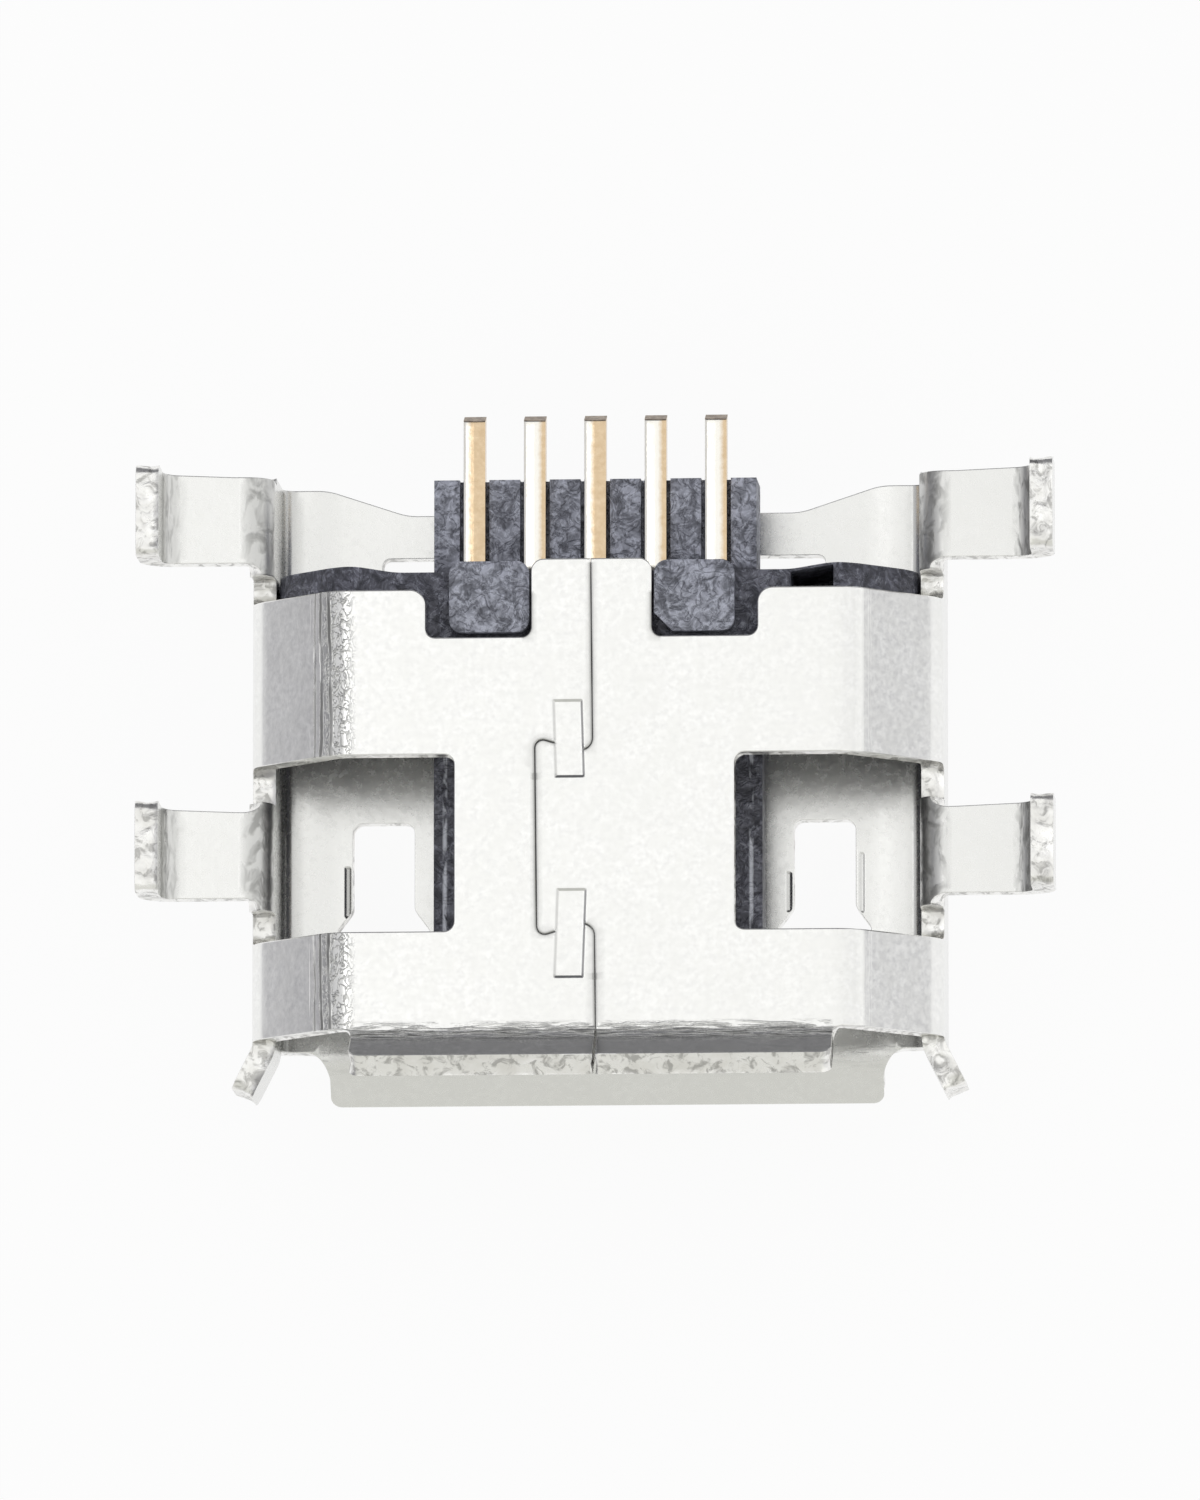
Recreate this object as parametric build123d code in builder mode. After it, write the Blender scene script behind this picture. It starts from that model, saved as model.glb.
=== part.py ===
from build123d import *

import os
from math import cos, radians, sin, tan

# Five-contact charging port, lying on its wide face with its solder side up.
# X runs across the port, +Y towards the contact tails, +Z towards the narrow face that holds the seam.
# The origin is the middle of the wide face's outside. Places along Y are measured from the mouth's edge.

# Sheet and bends of the shell
sheet = 0.25
bend_radius = 0.15  # inside radius of the bends in the lips and the leg tips
slant_radius = 0.22  # inside radius of the bends above and below the slanted faces
corner_radius = 0.20  # inside radius of the corners beside the wide face

# Tube
inner_width = 6.95
inner_height = 1.85
narrow_width = 5.58  # narrow face, outside, between the corners of its two bends
slant_drop = 0.95  # height of the slanted faces, outside
wide_length = 6.13
narrow_length = 4.735

# Rear edges and notches
strip_width = 1.29  # tab of the narrow face between the notches
strip_length = 0.325  # how far that tab reaches past the narrow face
notch_width = 1.14
notch_depth = 0.52
notch_radius = 0.11
strip_radius = 0.13
shoulder_radius = 0.16
hollow_width = 4.26  # flat middle of the wide face's shallow rear hollow
hollow_slope = 0.86
hollow_depth = 0.285
hollow_radius = 0.70

# Leg windows
window_front = 1.045
window_length = 1.91
window_spacing = 3.06  # between the inner edges of the two windows
window_radius = 0.11
relief_height = 1.20  # top edge of the side walls beside the legs
relief_radius = 0.12

# Legs
leg_width = 1.0
leg_span = 9.90  # over the outsides of the tips
leg_bend_radius = 0.03  # inside radius where a leg leaves the side wall
leg_taper = 0.07
leg_root = 0.12
seat_drop = 0.60  # from the narrow face's outside down to the legs' board seats
tip_rise = 0.62  # from the board seats up to the ends of the tips
tip_radius = 0.10
front_leg_place = 1.995

# Flared lips round the mouth
wide_lip_width = 5.95
wide_lip_angle = 35
wide_lip_run = 0.40
narrow_lip_width = 5.16
narrow_lip_angle = 57
narrow_lip_run = 0.37
side_lip_width = 0.78
side_lip_angle = 27
side_lip_run = 0.47
lip_corner = 0.12
wide_lip_root = 0.25
narrow_lip_root = 0.10
side_lip_root = 0.04

# Latch windows in the wide face
latch_spacing = 4.77
latch_width = 0.67
latch_length = 1.50
latch_straight = 0.95
latch_flare_length = 0.22
latch_mouth_width = 1.0
latch_rear = 2.495
latch_radius = 0.11

# Anchor windows in the wide face, partly under the body
anchor_spacing = 4.00  # between the middles of the two windows
anchor_width = 0.80
anchor_length = 0.60
anchor_rear = 5.38
anchor_radius = 0.08

# Seam with its dovetail lock and two stakes
seam_gap = 0.03
seam_offset = 0.03
lock_front = 1.165
lock_neck = 1.78
lock_reach = 0.60
lock_spread = 0.19
lock_radius = 0.09
stake_width = 0.31
stake_length = 0.88
stake_depth = 0.03
stake_offset = 0.275  # from the seam to the middle of the stakes
stake_shift = 0.15  # from the lock's neck outwards

# Contacts
contact_count = 5
contact_pitch = 0.65
contact_width = 0.235
contact_thickness = 0.20
contact_crown = 0.05
contact_bend = 0.10  # inside radius
contact_proud = 0.02  # above the tongue
contact_tip = 0.12  # behind the tongue's front
contact_jog = 0.45  # behind the body's front
tail_reach = 0.595  # past the rear edge of the wide face

# Housing
housing_clearance = 0.02
body_front = 4.065
body_length = 0.98
body_step = 0.08  # the body's rear is set in by this much beside the rear block
body_step_half = 2.13
body_step_slope = 0.47
body_step_radius = 1.20
body_radius = 1.00  # of the body's slanted corners, measured on the shell's outside
block_width = 3.47
block_length = 0.97
block_thickness = 0.70  # the block is a ledge, clear of the wide face
rib_drop = 0.05  # from the contact tails down to the ribs' tops
slot_gap = 0.042  # on each side of a tail
boss_gap = 0.025
boss_front_gap = 0.06
boss_width = 0.86
boss_drop = 0.05  # from the narrow face's outside down to the bosses' tops
boss_radius = 0.14
boss_chamfer = 0.20
recess_width = 0.46
recess_length = 0.40
recess_depth = 1.20
recess_place = 2.35
recess_wall = 0.03  # left between the recess and the body's rear
tongue_width = 3.54
tongue_thickness = 0.60
tongue_height = 0.40  # from the wide face's inside up to the tongue
tongue_front = 0.965
tongue_chamfer = 0.10
tongue_root_length = 0.28
tongue_root_growth = 0.15

# Worked out from the sizes above
outer_width = inner_width + 2 * sheet
outer_height = inner_height + 2 * sheet
mouth = -wide_length / 2
seat_height = outer_height - seat_drop
tip_height = seat_height + tip_rise
slant_height = outer_height - slant_drop
tongue_bottom = sheet + tongue_height
tongue_top = tongue_bottom + tongue_thickness
contact_run_height = tongue_top + contact_proud
body_rear = body_front + body_length
block_rear = body_rear + block_length
block_top = seat_height - rib_drop
body_top = outer_height - sheet - 2 * housing_clearance
beyond = outer_width  # overshoot of cutting shapes
near = 0.01  # for picking corners out of an outline


def place(distance):
    """Y of a place measured back from the mouth's edge."""
    return mouth + distance


def tube_section(plane, inset, rounding=slant_radius + sheet):
    """Section of the tube's outside with its upper bends rounded, drawn in by the inset."""
    with BuildSketch(plane) as section:
        with BuildLine():
            Polyline(
                (-outer_width / 2, 0),
                (outer_width / 2, 0),
                (outer_width / 2, slant_height),
                (narrow_width / 2, outer_height),
                (-narrow_width / 2, outer_height),
                (-outer_width / 2, slant_height),
                close=True,
            )
        make_face()
        levels = section.vertices().group_by(Axis.Y)
        fillet(levels[-1] + levels[-2], rounding)
        fillet(section.vertices().group_by(Axis.Y)[0], corner_radius + sheet)
        if inset:
            offset(amount=-inset, mode=Mode.REPLACE)
    return section.sketch


def make_leg(centre, rear_root):
    """Leg on the +X side, bent out of the side wall, with its tip bent up."""
    wall_inside = inner_width / 2
    wall_outside = outer_width / 2
    front_edge = centre - leg_width / 2
    rear_edge = centre + leg_width / 2
    with BuildPart() as leg:
        with BuildSketch(Plane.XZ.offset(-centre)):
            with BuildLine():
                FilletPolyline(
                    (wall_inside + sheet / 2, relief_height - sheet),
                    (wall_inside + sheet / 2, seat_height - sheet / 2),
                    (leg_span / 2 - sheet / 2, seat_height - sheet / 2),
                    (leg_span / 2 - sheet / 2, tip_height),
                    radius=[leg_bend_radius + sheet / 2, bend_radius + sheet / 2],
                )
            trace(line_width=sheet)
        extrude(amount=leg_width, both=True)
        with BuildSketch(Plane.XY):
            with BuildLine():
                front = Line((wall_inside, front_edge - leg_root), (wall_outside, front_edge - leg_root))
                front_arc = JernArc(front @ 1, tangent=(0, 1), radius=leg_root, arc_size=-90)
                edge = Polyline(
                    front_arc @ 1,
                    (leg_span / 2, front_edge),
                    (leg_span / 2, rear_edge),
                    (wall_outside + leg_root, rear_edge - leg_taper),
                )
                if rear_root:
                    rear_arc = JernArc(edge @ 1, tangent=(-1, 0), radius=leg_root, arc_size=-90)
                    rear = Line(rear_arc @ 1, (wall_inside, (rear_arc @ 1).Y))
                else:
                    rear = Line(edge @ 1, (wall_inside, rear_edge - leg_taper))
                Line(rear @ 1, front @ 0)
            make_face()
        extrude(amount=tip_height, mode=Mode.INTERSECT)
        fillet(leg.edges().filter_by(Axis.X).group_by(Axis.Z)[-1], tip_radius)
    return leg.part


def make_lip(plane, outside, angle, run, width, root):
    """Flared lip: the plane's X points out of the mouth and its Y out of the tube."""
    middle = outside - sheet / 2
    corner = (bend_radius + sheet / 2) * tan(radians(angle) / 2)
    slope = Vector(cos(radians(angle)), sin(radians(angle)))
    reach = (bend_radius + sheet) * sin(radians(angle)) + run * slope.X
    with BuildPart() as lip:
        with BuildSketch(plane):
            with BuildLine():
                FilletPolyline(
                    (0, middle),
                    (corner, middle),
                    (corner + (corner + run) * slope.X, middle + (corner + run) * slope.Y),
                    radius=bend_radius + sheet / 2,
                )
            trace(line_width=sheet)
        extrude(amount=width / 2 + root, both=True)
        with BuildSketch(Plane(plane.origin, x_dir=plane.x_dir, z_dir=plane.y_dir)) as outline:
            with Locations((reach / 2, 0)):
                Rectangle(reach, width)
            fillet(outline.vertices().group_by(Axis.X)[-1], lip_corner)
            with Locations((-root, 0)):
                Rectangle(2 * root, width + 4 * root)
            fillet(outline.vertices().group_by(Axis.X)[1].sort_by(lambda v: abs(v.Y))[:2], root)
        extrude(amount=beyond, both=True, mode=Mode.INTERSECT)
    return lip.part


front_leg = make_leg(place(front_leg_place), rear_root=True)
rear_leg = make_leg(place(wide_length - leg_width / 2), rear_root=False)
wide_lip = make_lip(
    Plane((0, mouth, 0), x_dir=(0, -1, 0), z_dir=(1, 0, 0)),
    0,
    wide_lip_angle,
    wide_lip_run,
    wide_lip_width,
    wide_lip_root,
)
narrow_lip = make_lip(
    Plane((0, mouth, 0), x_dir=(0, -1, 0), z_dir=(-1, 0, 0)),
    outer_height,
    narrow_lip_angle,
    narrow_lip_run,
    narrow_lip_width,
    narrow_lip_root,
)
side_lip_middle = (corner_radius + sheet + relief_height) / 2
side_lip = make_lip(
    Plane((0, mouth, side_lip_middle), x_dir=(0, -1, 0), z_dir=(0, 0, 1)),
    outer_width / 2,
    side_lip_angle,
    side_lip_run,
    side_lip_width,
    side_lip_root,
)

# Space behind the narrow face, with the outline of its tab and two notches
narrow_rear = place(narrow_length)
with BuildPart() as rear_cutter:
    notch_inner = strip_width / 2
    notch_outer = notch_inner + notch_width
    with BuildSketch(Plane.XY.offset(relief_height)) as opening:
        with BuildLine():
            half = Polyline(
                (0, narrow_rear + strip_length),
                (notch_inner, narrow_rear + strip_length),
                (notch_inner, narrow_rear - notch_depth),
                (notch_outer, narrow_rear - notch_depth),
                (notch_outer, narrow_rear),
                (beyond, narrow_rear),
                (beyond, narrow_rear + beyond),
                (0, narrow_rear + beyond),
            )
            mirror(half, about=Plane.YZ)
        make_face()
        corners = opening.vertices().filter_by(lambda v: near < abs(v.X) < outer_width / 2)
        fillet(corners.group_by(Axis.Y)[0], notch_radius)
        corners = opening.vertices().filter_by(lambda v: near < abs(v.X) < outer_width / 2)
        fillet(corners.filter_by(lambda v: abs(v.Y - narrow_rear) < near), shoulder_radius)
        corners = opening.vertices().filter_by(lambda v: near < abs(v.X) < outer_width / 2)
        fillet(corners.group_by(Axis.Y)[-1], strip_radius)
    extrude(amount=outer_height)
    with BuildSketch(Plane.YZ) as profile:
        with BuildLine():
            Polyline(
                (narrow_rear, relief_height),
                (narrow_rear, outer_height - 2 * sheet),
                (narrow_rear - beyond, outer_height - 2 * sheet),
                (narrow_rear - beyond, outer_height + beyond),
                (narrow_rear + beyond, outer_height + beyond),
                (narrow_rear + beyond, relief_height),
                close=True,
            )
        make_face()
        fillet(profile.vertices().group_by(Axis.Y)[0].sort_by(Axis.X)[0], relief_radius)
    extrude(amount=beyond, both=True, mode=Mode.INTERSECT)

# Windows that the front legs were bent out of
with BuildPart() as window_cutter:
    window_middle = place(window_front + window_length / 2)
    window_depth = outer_width - window_spacing / 2
    with BuildSketch(Plane.XY.offset(relief_height)) as windows:
        for side in (-1, 1):
            with Locations((side * (window_spacing + window_depth) / 2, window_middle)):
                Rectangle(window_depth, window_length)
        fillet(windows.vertices().filter_by(lambda v: abs(v.X) < outer_width / 2), window_radius)
    extrude(amount=outer_height)
    with BuildSketch(Plane.YZ) as profile:
        with Locations((window_middle, relief_height + outer_height / 2)):
            Rectangle(window_length, outer_height)
        fillet(profile.vertices().group_by(Axis.Y)[0], relief_radius)
    extrude(amount=beyond, both=True, mode=Mode.INTERSECT)

# Bell-shaped latch window, with its rear edge on the X axis
with BuildSketch() as latch:
    with BuildLine():
        half = Polyline(
            (0, 0),
            (latch_width / 2, 0),
            (latch_width / 2, -latch_straight),
            (latch_mouth_width / 2, -latch_straight - latch_flare_length),
            (latch_mouth_width / 2, -latch_length),
            (0, -latch_length),
        )
        mirror(half, about=Plane.YZ)
    make_face()
    fillet(latch.vertices().filter_by(lambda v: abs(v.X) > near), latch_radius)

with BuildPart() as shell:
    # Tube
    rear_plane = Plane.XZ.offset(-place(wide_length))
    extrude(tube_section(rear_plane, 0), amount=wide_length)
    extrude(tube_section(rear_plane, sheet), amount=wide_length, mode=Mode.SUBTRACT)

    # Rear of the narrow face, and the windows that the front legs were bent out of
    add(rear_cutter.part, mode=Mode.SUBTRACT)
    add(window_cutter.part, mode=Mode.SUBTRACT)

    # Shallow hollow in the rear edge of the wide face
    with BuildSketch(Plane.XY.offset(-sheet)) as hollow:
        with BuildLine():
            Polyline(
                (-beyond, place(wide_length)),
                (-hollow_width / 2 - hollow_slope, place(wide_length)),
                (-hollow_width / 2, place(wide_length - hollow_depth)),
                (hollow_width / 2, place(wide_length - hollow_depth)),
                (hollow_width / 2 + hollow_slope, place(wide_length)),
                (beyond, place(wide_length)),
                (beyond, place(wide_length + beyond)),
                (-beyond, place(wide_length + beyond)),
                close=True,
            )
        make_face()
        fillet(hollow.vertices().filter_by(lambda v: abs(v.X) < outer_width / 2), hollow_radius)
    extrude(amount=2 * sheet + corner_radius, mode=Mode.SUBTRACT)

    # Latch windows
    with BuildSketch(Plane.XY.offset(-sheet)):
        with Locations((-latch_spacing / 2, place(latch_rear)), (latch_spacing / 2, place(latch_rear))):
            add(latch.sketch)
    extrude(amount=3 * sheet, mode=Mode.SUBTRACT)

    # Anchor windows
    with BuildSketch(Plane.XY.offset(-sheet)) as anchors:
        anchor_middle = place(anchor_rear - anchor_length / 2)
        with Locations((-anchor_spacing / 2, anchor_middle), (anchor_spacing / 2, anchor_middle)):
            Rectangle(anchor_width, anchor_length)
        fillet(anchors.vertices(), anchor_radius)
    extrude(amount=3 * sheet, mode=Mode.SUBTRACT)

    # Legs and lips
    add(front_leg)
    mirror(front_leg, about=Plane.YZ)
    add(rear_leg)
    mirror(rear_leg, about=Plane.YZ)
    add(wide_lip)
    add(narrow_lip)
    add(side_lip)
    mirror(side_lip, about=Plane.YZ)

    # Seam with its dovetail lock
    lock_rear = lock_front + lock_neck
    with BuildSketch(Plane.XY.offset(outer_height - 2 * sheet)):
        with BuildLine():
            FilletPolyline(
                (seam_offset, place(wide_length)),
                (seam_offset, place(lock_rear)),
                (seam_offset - lock_reach, place(lock_rear + lock_spread)),
                (seam_offset - lock_reach, place(lock_front - lock_spread)),
                (seam_offset, place(lock_front)),
                (seam_offset, place(-beyond)),
                radius=lock_radius,
            )
        trace(line_width=seam_gap)
    extrude(amount=beyond, mode=Mode.SUBTRACT)

    # Stakes that press the two edges of the lock together
    with BuildSketch(Plane.XY.offset(outer_height - stake_depth)):
        stake_x = seam_offset - stake_offset
        for stake_y in (place(lock_rear + stake_shift), place(lock_front - stake_shift)):
            with Locations((stake_x, stake_y)):
                Rectangle(stake_width, stake_length)
    extrude(amount=sheet, mode=Mode.SUBTRACT)
shell.part.label = "shell"


def contact_section(plane):
    """Side view of a contact, from its tail to its tip on the tongue."""
    tail_level = seat_height - contact_thickness / 2
    run_level = contact_run_height - contact_thickness / 2
    jog_front = place(body_front + contact_jog)
    jog_rear = jog_front + tail_level - run_level
    with BuildSketch(plane) as section:
        with BuildLine():
            FilletPolyline(
                (place(wide_length + tail_reach), tail_level),
                (jog_rear, tail_level),
                (jog_front, run_level),
                (place(tongue_front + contact_tip), run_level),
                radius=contact_bend + contact_thickness / 2,
            )
        trace(line_width=contact_thickness)
    return section.sketch


contact_places = [
    (i - (contact_count - 1) / 2) * contact_pitch for i in range(contact_count)
]

with BuildPart() as housing:
    # Body that fills the rear of the tube
    body_plane = Plane((0, place(body_rear), -housing_clearance), x_dir=(1, 0, 0), z_dir=(0, -1, 0))
    extrude(tube_section(body_plane, sheet + housing_clearance, body_radius), amount=body_length)
    with BuildSketch(Plane.XY) as step:
        with BuildLine():
            Polyline(
                (-beyond, place(body_rear)),
                (-body_step_half - body_step_slope, place(body_rear)),
                (-body_step_half, place(body_rear - body_step)),
                (body_step_half, place(body_rear - body_step)),
                (body_step_half + body_step_slope, place(body_rear)),
                (beyond, place(body_rear)),
                (beyond, place(body_rear + beyond)),
                (-beyond, place(body_rear + beyond)),
                close=True,
            )
        make_face()
        fillet(step.vertices().filter_by(lambda v: abs(v.X) < outer_width / 2), body_step_radius)
    extrude(amount=outer_height, mode=Mode.SUBTRACT)

    # Deep recess beside the rear block, with a thin wall that follows the body's rear
    recess_front = place(body_rear - recess_length)
    recess_inner = recess_place - recess_width / 2
    recess_outer = recess_place + recess_width / 2
    recess_rear = place(body_rear - recess_wall)
    with BuildSketch(Plane.XY.offset(body_top - recess_depth)):
        with BuildLine():
            Polyline(
                (recess_inner, recess_front),
                (recess_outer, recess_front),
                (recess_outer, recess_rear),
                (recess_inner, recess_rear - body_step),
                close=True,
            )
        make_face()
    extrude(amount=outer_height, mode=Mode.SUBTRACT)

    # Rear block
    with BuildSketch(Plane.XY.offset(block_top)):
        with Locations((0, place(block_rear - (block_length + body_length / 2) / 2))):
            Rectangle(block_width, block_length + body_length / 2)
    extrude(amount=-block_thickness)

    # Bosses in the shell's notches
    boss_front = place(narrow_length - notch_depth + boss_front_gap)
    boss_length = place(body_rear) - boss_front
    boss_middle = strip_width / 2 + boss_gap + boss_width / 2
    with BuildSketch(Plane.XY.offset(body_top - boss_drop)) as bosses:
        for x in (-boss_middle, boss_middle):
            with Locations((x, boss_front + boss_length / 2)):
                Rectangle(boss_width, boss_length)
        front_corners = bosses.vertices().group_by(Axis.Y)[0].sort_by(Axis.X)
        rear_corners = bosses.vertices().group_by(Axis.Y)[-1]
        fillet(front_corners[:2] + front_corners[3:] + rear_corners, boss_radius)
        cut_corner = (boss_middle - boss_width / 2, boss_front)
        chamfer(bosses.vertices().sort_by_distance(cut_corner)[0], boss_chamfer)
    extrude(amount=outer_height - body_top)

    # Tongue with a thicker root
    with BuildSketch(Plane.XZ.offset(-place(body_front))):
        with Locations((0, (tongue_bottom + tongue_top) / 2)):
            Rectangle(tongue_width, tongue_thickness)
    extrude(amount=body_front - tongue_front)
    nose = housing.faces().sort_by(Axis.Y)[0]
    chamfer(nose.edges(), tongue_chamfer)
    with BuildSketch(Plane.XZ.offset(-place(body_front))):
        with Locations((0, (tongue_bottom + tongue_top) / 2)):
            Rectangle(tongue_width + 2 * tongue_root_growth, tongue_thickness + 2 * tongue_root_growth)
    extrude(amount=tongue_root_length)

    # Slots for the tails, and the way of each contact through the body and along the tongue
    for x in contact_places:
        with BuildSketch(Plane.XY.offset(seat_height - contact_thickness)):
            with Locations((x, place(body_rear + block_length))):
                Rectangle(contact_width + 2 * slot_gap, 2 * block_length)
        extrude(amount=contact_thickness, mode=Mode.SUBTRACT)
        extrude(contact_section(Plane.YZ.offset(x)), amount=contact_width / 2, both=True, mode=Mode.SUBTRACT)
housing.part.label = "housing"

contacts = []
for number, x in enumerate(contact_places, start=1):
    with BuildPart() as contact:
        extrude(contact_section(Plane.YZ.offset(x)), amount=contact_width / 2, both=True)
        fillet(contact.faces().sort_by(Axis.Z)[-1].edges(), contact_crown)
    contact.part.label = f"contact_{number}"
    contacts.append(contact.part)

os.makedirs("parts", exist_ok=True)
for piece in [shell.part, housing.part, *contacts]:
    export_step(piece, f"parts/{piece.label}.step")
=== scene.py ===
from math import atan2, ceil, cos, hypot, pi, radians, sin, tan

import bmesh
import bpy
import numpy as np
from mathutils import Matrix, Vector, noise
from mathutils.geometry import delaunay_2d_cdt


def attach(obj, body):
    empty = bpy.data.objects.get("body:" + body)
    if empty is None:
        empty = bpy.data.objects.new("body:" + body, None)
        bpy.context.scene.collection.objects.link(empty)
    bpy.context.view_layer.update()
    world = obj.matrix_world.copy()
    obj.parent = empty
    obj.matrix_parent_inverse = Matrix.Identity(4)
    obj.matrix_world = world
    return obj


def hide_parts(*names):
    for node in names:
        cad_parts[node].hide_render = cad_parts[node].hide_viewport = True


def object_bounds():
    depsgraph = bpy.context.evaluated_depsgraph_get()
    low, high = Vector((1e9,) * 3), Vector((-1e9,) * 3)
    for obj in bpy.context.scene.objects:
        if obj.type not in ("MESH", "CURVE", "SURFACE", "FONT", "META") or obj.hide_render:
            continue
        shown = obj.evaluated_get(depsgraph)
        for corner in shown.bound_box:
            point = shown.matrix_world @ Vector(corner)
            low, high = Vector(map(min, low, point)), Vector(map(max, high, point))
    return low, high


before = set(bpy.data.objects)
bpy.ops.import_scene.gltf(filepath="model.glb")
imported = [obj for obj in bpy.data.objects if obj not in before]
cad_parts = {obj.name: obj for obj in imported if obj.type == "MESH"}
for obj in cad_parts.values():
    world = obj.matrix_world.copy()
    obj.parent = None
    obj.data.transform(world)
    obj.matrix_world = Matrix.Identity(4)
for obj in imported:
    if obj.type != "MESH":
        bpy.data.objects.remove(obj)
cad_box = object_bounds()

MM = 0.001

# Sizes of the port in millimetres, as in the part's own source
SHEET = 0.25
OUTER_WIDTH = 7.45
OUTER_HEIGHT = 2.35
NARROW_WIDTH = 5.58  # narrow face, outside, between the corners of its bends
SLANT_HEIGHT = 1.40  # where the slanted faces begin, outside
MOUTH = -3.065
REAR = 3.065
NARROW_REAR = 1.67
BEND = 0.15  # inside radius in the lips and the leg tips
SLANT_BEND = 0.22
CORNER = 0.15  # beside the wide face; tighter than the solid's 0.20, to keep its shade narrow
LEG_BEND = 0.03
RELIEF = 1.20  # height at which the legs leave the side walls
SEAT = 1.75  # height of the legs' board seats and of the contact tails
TIP = 2.37
LEG_SPAN = 9.90
LEFT_SHORT = 0.10  # the left tips stand a little nearer the tube, by half of this
MID_BEND = BEND + SHEET / 2


def add_object(name, data):
    made = bpy.data.objects.new(name, data)
    bpy.context.scene.collection.objects.link(made)
    return made


def add_values(mesh, name, values):
    """One number for each point of a mesh, for its materials."""
    mesh.attributes.new(name, "FLOAT", "POINT").data.foreach_set("value", values.astype(np.float32))


# Camera

VIEW_HEIGHT = 16.13
VIEW_DISTANCE = 0.22


def make_camera():
    """Camera over the seam, leaning a little towards the mouth and to the right."""
    target = Vector((0.018, 0.078, 1.2)) * MM
    direction = Vector((0.0656, -0.1357, 0.9886)).normalized()
    data = bpy.data.cameras.new("camera")
    data.sensor_fit = "VERTICAL"
    data.sensor_height = 36
    data.lens = data.sensor_height * VIEW_DISTANCE / (VIEW_HEIGHT * MM)
    data.clip_start, data.clip_end = 0.01, 10
    camera = add_object("camera", data)
    right = Vector((0, 1, 0)).cross(direction).normalized()
    turned = Matrix((right, direction.cross(right), direction)).transposed().to_4x4()
    camera.matrix_world = Matrix.Translation(target + direction * VIEW_DISTANCE) @ turned
    bpy.context.scene.camera = camera


# Materials

class Nodes:
    """Short hand for the nodes of a material or a world."""

    def __init__(self, owner, shader="Principled BSDF"):
        owner.use_nodes = True
        self.owner = owner
        self.tree = owner.node_tree
        self.shader = self.tree.nodes[shader]

    def add(self, kind, inputs=None, **settings):
        """New node of a kind, with its inputs and settings."""
        node = self.tree.nodes.new("ShaderNode" + kind)
        for key, value in settings.items():
            setattr(node, key, value)
        self.fill(node, inputs or {})
        return node

    def fill(self, node, inputs):
        """Sets inputs to values, or links them to sockets or nodes' first outputs."""
        for key, value in inputs.items():
            if isinstance(value, bpy.types.NodeSocket):
                self.tree.links.new(value, node.inputs[key])
            elif isinstance(value, bpy.types.Node):
                self.tree.links.new(value.outputs[0], node.inputs[key])
            else:
                node.inputs[key].default_value = value

    def noise(self, vector, scale, detail=2.0, roughness=0.5, distortion=0.0):
        inputs = {"Vector": vector, "Scale": scale, "Detail": detail, "Roughness": roughness,
                  "Distortion": distortion}
        return self.add("TexNoise", inputs).outputs["Fac"]

    def ramp(self, value, low, high, to_low=0.0, to_high=1.0, **settings):
        inputs = {"Value": value, "From Min": low, "From Max": high, "To Min": to_low, "To Max": to_high}
        return self.add("MapRange", inputs, **settings).outputs[0]

    def math(self, operation, *values):
        return self.add("Math", dict(enumerate(values)), operation=operation).outputs[0]

    def times(self, a, b):
        return self.math("MULTIPLY", a, b)

    def mix(self, factor, a, b):
        """Blend of two colours, which are a Mix node's sockets 6 and 7."""
        return self.add("Mix", {"Factor": factor, 6: a, 7: b}, data_type="RGBA").outputs[2]

    def thin_lines(self, value, width, at_line=1, away=0):
        """Full where a noise crosses its middle value, and away from there outside the lines."""
        return self.ramp(self.math("ABSOLUTE", self.math("SUBTRACT", value, 0.5)), 0.0, width, at_line, away)

    def place(self, scale=(1, 1, 1), source="Object"):
        coordinate = self.add("TexCoord").outputs[source]
        return self.add("Mapping", {"Scale": scale, "Vector": coordinate}).outputs[0]

    def bump(self, height, distance, strength=1.0, normal=None):
        inputs = {"Distance": distance, "Strength": strength, "Height": height}
        if normal is not None:
            inputs["Normal"] = normal
        return self.add("Bump", inputs).outputs[0]

    def attribute(self, name):
        return self.add("Attribute", attribute_name=name).outputs["Fac"]

    def done(self, colour, roughness, normal, metallic=0.0):
        """Fills in the shader's sockets and gives the material."""
        self.fill(self.shader, {
            "Base Color": colour, "Roughness": roughness, "Normal": normal, "Metallic": metallic})
        return self.owner


def new_material(name):
    return Nodes(bpy.data.materials.new(name))


def grey(value):
    return (value, value, value, 1)


PATTERN_SIZE = 20  # millimetres of the flat pattern across its UV square
LINE_TURN = 1366  # radians across that square, which puts a crease line every 0.092 mm
LINE_WANDER = 6.5


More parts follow.
